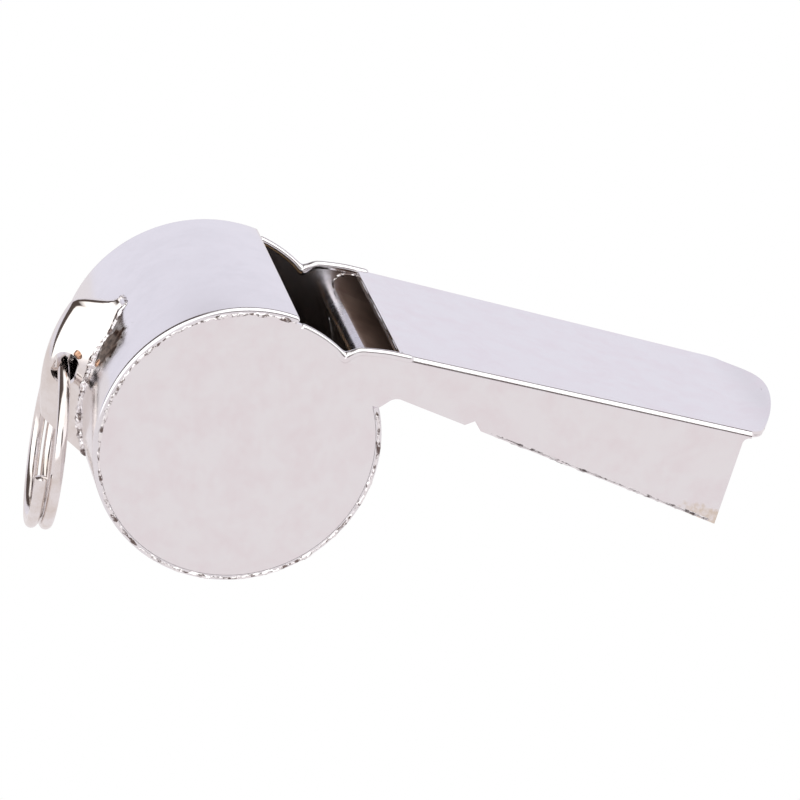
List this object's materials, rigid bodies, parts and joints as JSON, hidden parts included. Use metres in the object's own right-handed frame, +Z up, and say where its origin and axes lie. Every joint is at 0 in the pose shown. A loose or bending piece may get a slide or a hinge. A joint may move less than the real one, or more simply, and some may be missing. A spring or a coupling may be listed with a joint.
{
  "type": "pea whistle",
  "caption": "Plated sheet-metal sports whistle: round barrel with a loose cork ball, a sound window, a tapered flat mouthpiece and a split ring on a rear lug.",
  "frame": {"origin": "on the surface that the whistle stands on, under the middle of the whole whistle's length and width", "axes": "+X from the lug and ring towards the mouthpiece tip, +Y to the whistle's left seen from behind, along the barrel's axis, +Z up, as it stands on the barrel and the mouthpiece's lower tip edge"},
  "size_m": [0.0562, 0.0202, 0.021],
  "materials": {
    "plated_sheet": "bright nickel plate, light wear",
    "braze": "plated over uneven braze beads",
    "ring_wire": "plated spring wire",
    "cork": "natural cork"
  },
  "bodies": {
    "whistle": {"folded_shell": "plated_sheet", "wrapped_band": "plated_sheet", "ring_lug": "plated_sheet", "barrel_seam_left": "braze", "barrel_seam_right": "braze", "mouth_seam_left": "braze", "mouth_seam_right": "braze", "lug_seam": "braze"},
    "pea": {"cork_ball": "cork"},
    "ring": {"split_ring": "ring_wire"}
  },
  "joints": [
    {"name": "pea_orbit", "type": "hinge", "parent": "whistle", "child": "pea", "pos_m": [-0.01306, 0, 0.0105], "axis": [0, 1, 0], "continuous": true},
    {"name": "ring_swing", "type": "hinge", "parent": "whistle", "child": "ring", "pos_m": [-0.02428, 0, 0.01462], "axis": [0, 1, 0], "range_deg": [0, 190]}
  ]
}
